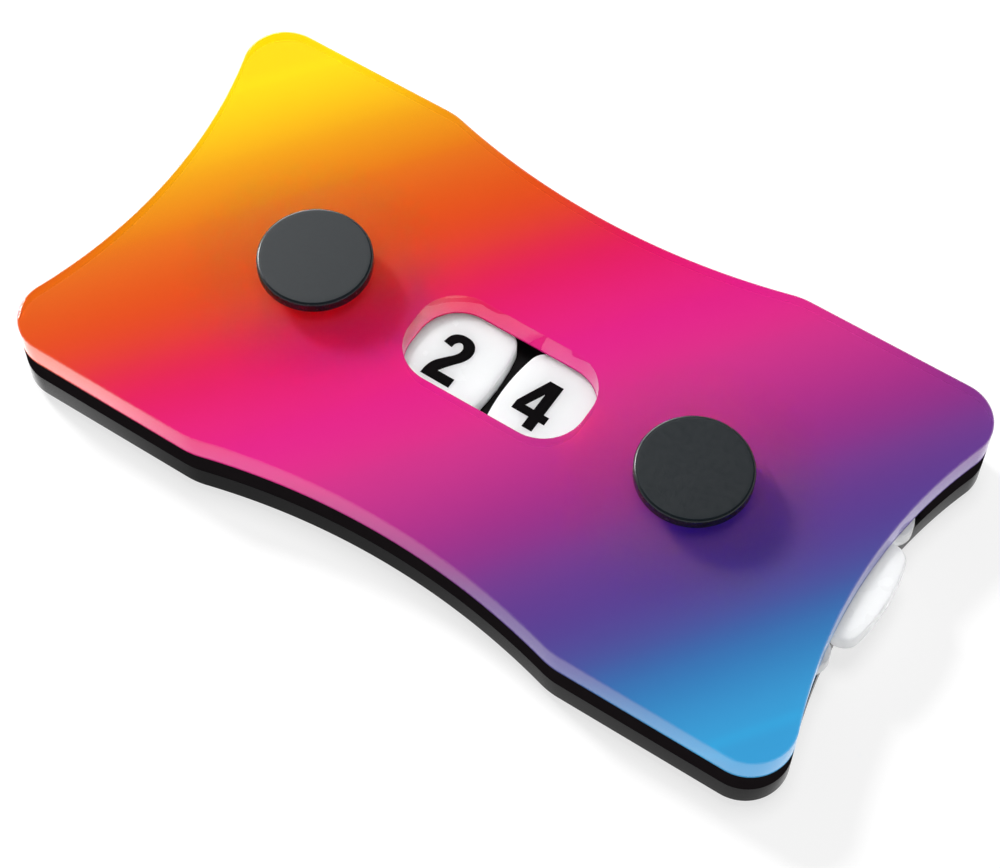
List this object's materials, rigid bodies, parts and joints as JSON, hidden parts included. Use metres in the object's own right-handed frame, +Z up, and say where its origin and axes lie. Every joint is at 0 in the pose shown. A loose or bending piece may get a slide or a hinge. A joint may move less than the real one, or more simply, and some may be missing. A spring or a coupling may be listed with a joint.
{
  "type": "life counter",
  "caption": "Flat hand-held life counter: thumb-turned number dials between waisted acrylic plates, read through a window in the clear printed cover, with round heads on the dial axles.",
  "frame": {"origin": "on the surface that the counter lies on, midway between the two dial axles", "axes": "+X along the counter towards the units dial, +Y away from the player, +Z up"},
  "size_m": [0.0874, 0.0464, 0.0114],
  "materials": {
    "clear_acrylic": "clear polished sheet acrylic",
    "print": "printed film, a soft blend from yellow through red, magenta and violet to blue",
    "black_acrylic": "gloss black sheet acrylic",
    "black_spacer": "matt black sheet acrylic, as cut",
    "tape": "black double-sided tape",
    "white_acrylic": "gloss white sheet acrylic",
    "black_plastic": "satin black moulded plastic",
    "natural_nylon": "natural nylon",
    "felt": "thin pressed felt"
  },
  "bodies": {
    "housing": {"cover_plate": "clear_acrylic", "print_film": "print", "base_plate": "black_acrylic", "front_spacer": "black_spacer", "rear_spacer": "black_spacer", "front_upper_tape": "tape", "rear_upper_tape": "tape", "front_lower_tape": "tape", "rear_lower_tape": "tape", "tens_screw_post": "black_plastic", "units_screw_post": "black_plastic", "tens_post_screw": "black_plastic", "units_post_screw": "black_plastic", "tens_axle_bush": "natural_nylon", "units_axle_bush": "natural_nylon", "tens_slip_washer": "natural_nylon", "units_slip_washer": "natural_nylon", "tens_friction_washer": "felt", "units_friction_washer": "felt"},
    "tens_wheel": {"tens_dial": "white_acrylic"},
    "units_wheel": {"units_dial": "white_acrylic"}
  },
  "joints": [
    {"name": "tens_dial_spin", "type": "hinge", "parent": "housing", "child": "tens_wheel", "pos_m": [-0.022, 0, 0.0056], "axis": [0, 0, 1], "continuous": true},
    {"name": "units_dial_spin", "type": "hinge", "parent": "housing", "child": "units_wheel", "pos_m": [0.022, 0, 0.0056], "axis": [0, 0, 1], "continuous": true}
  ]
}
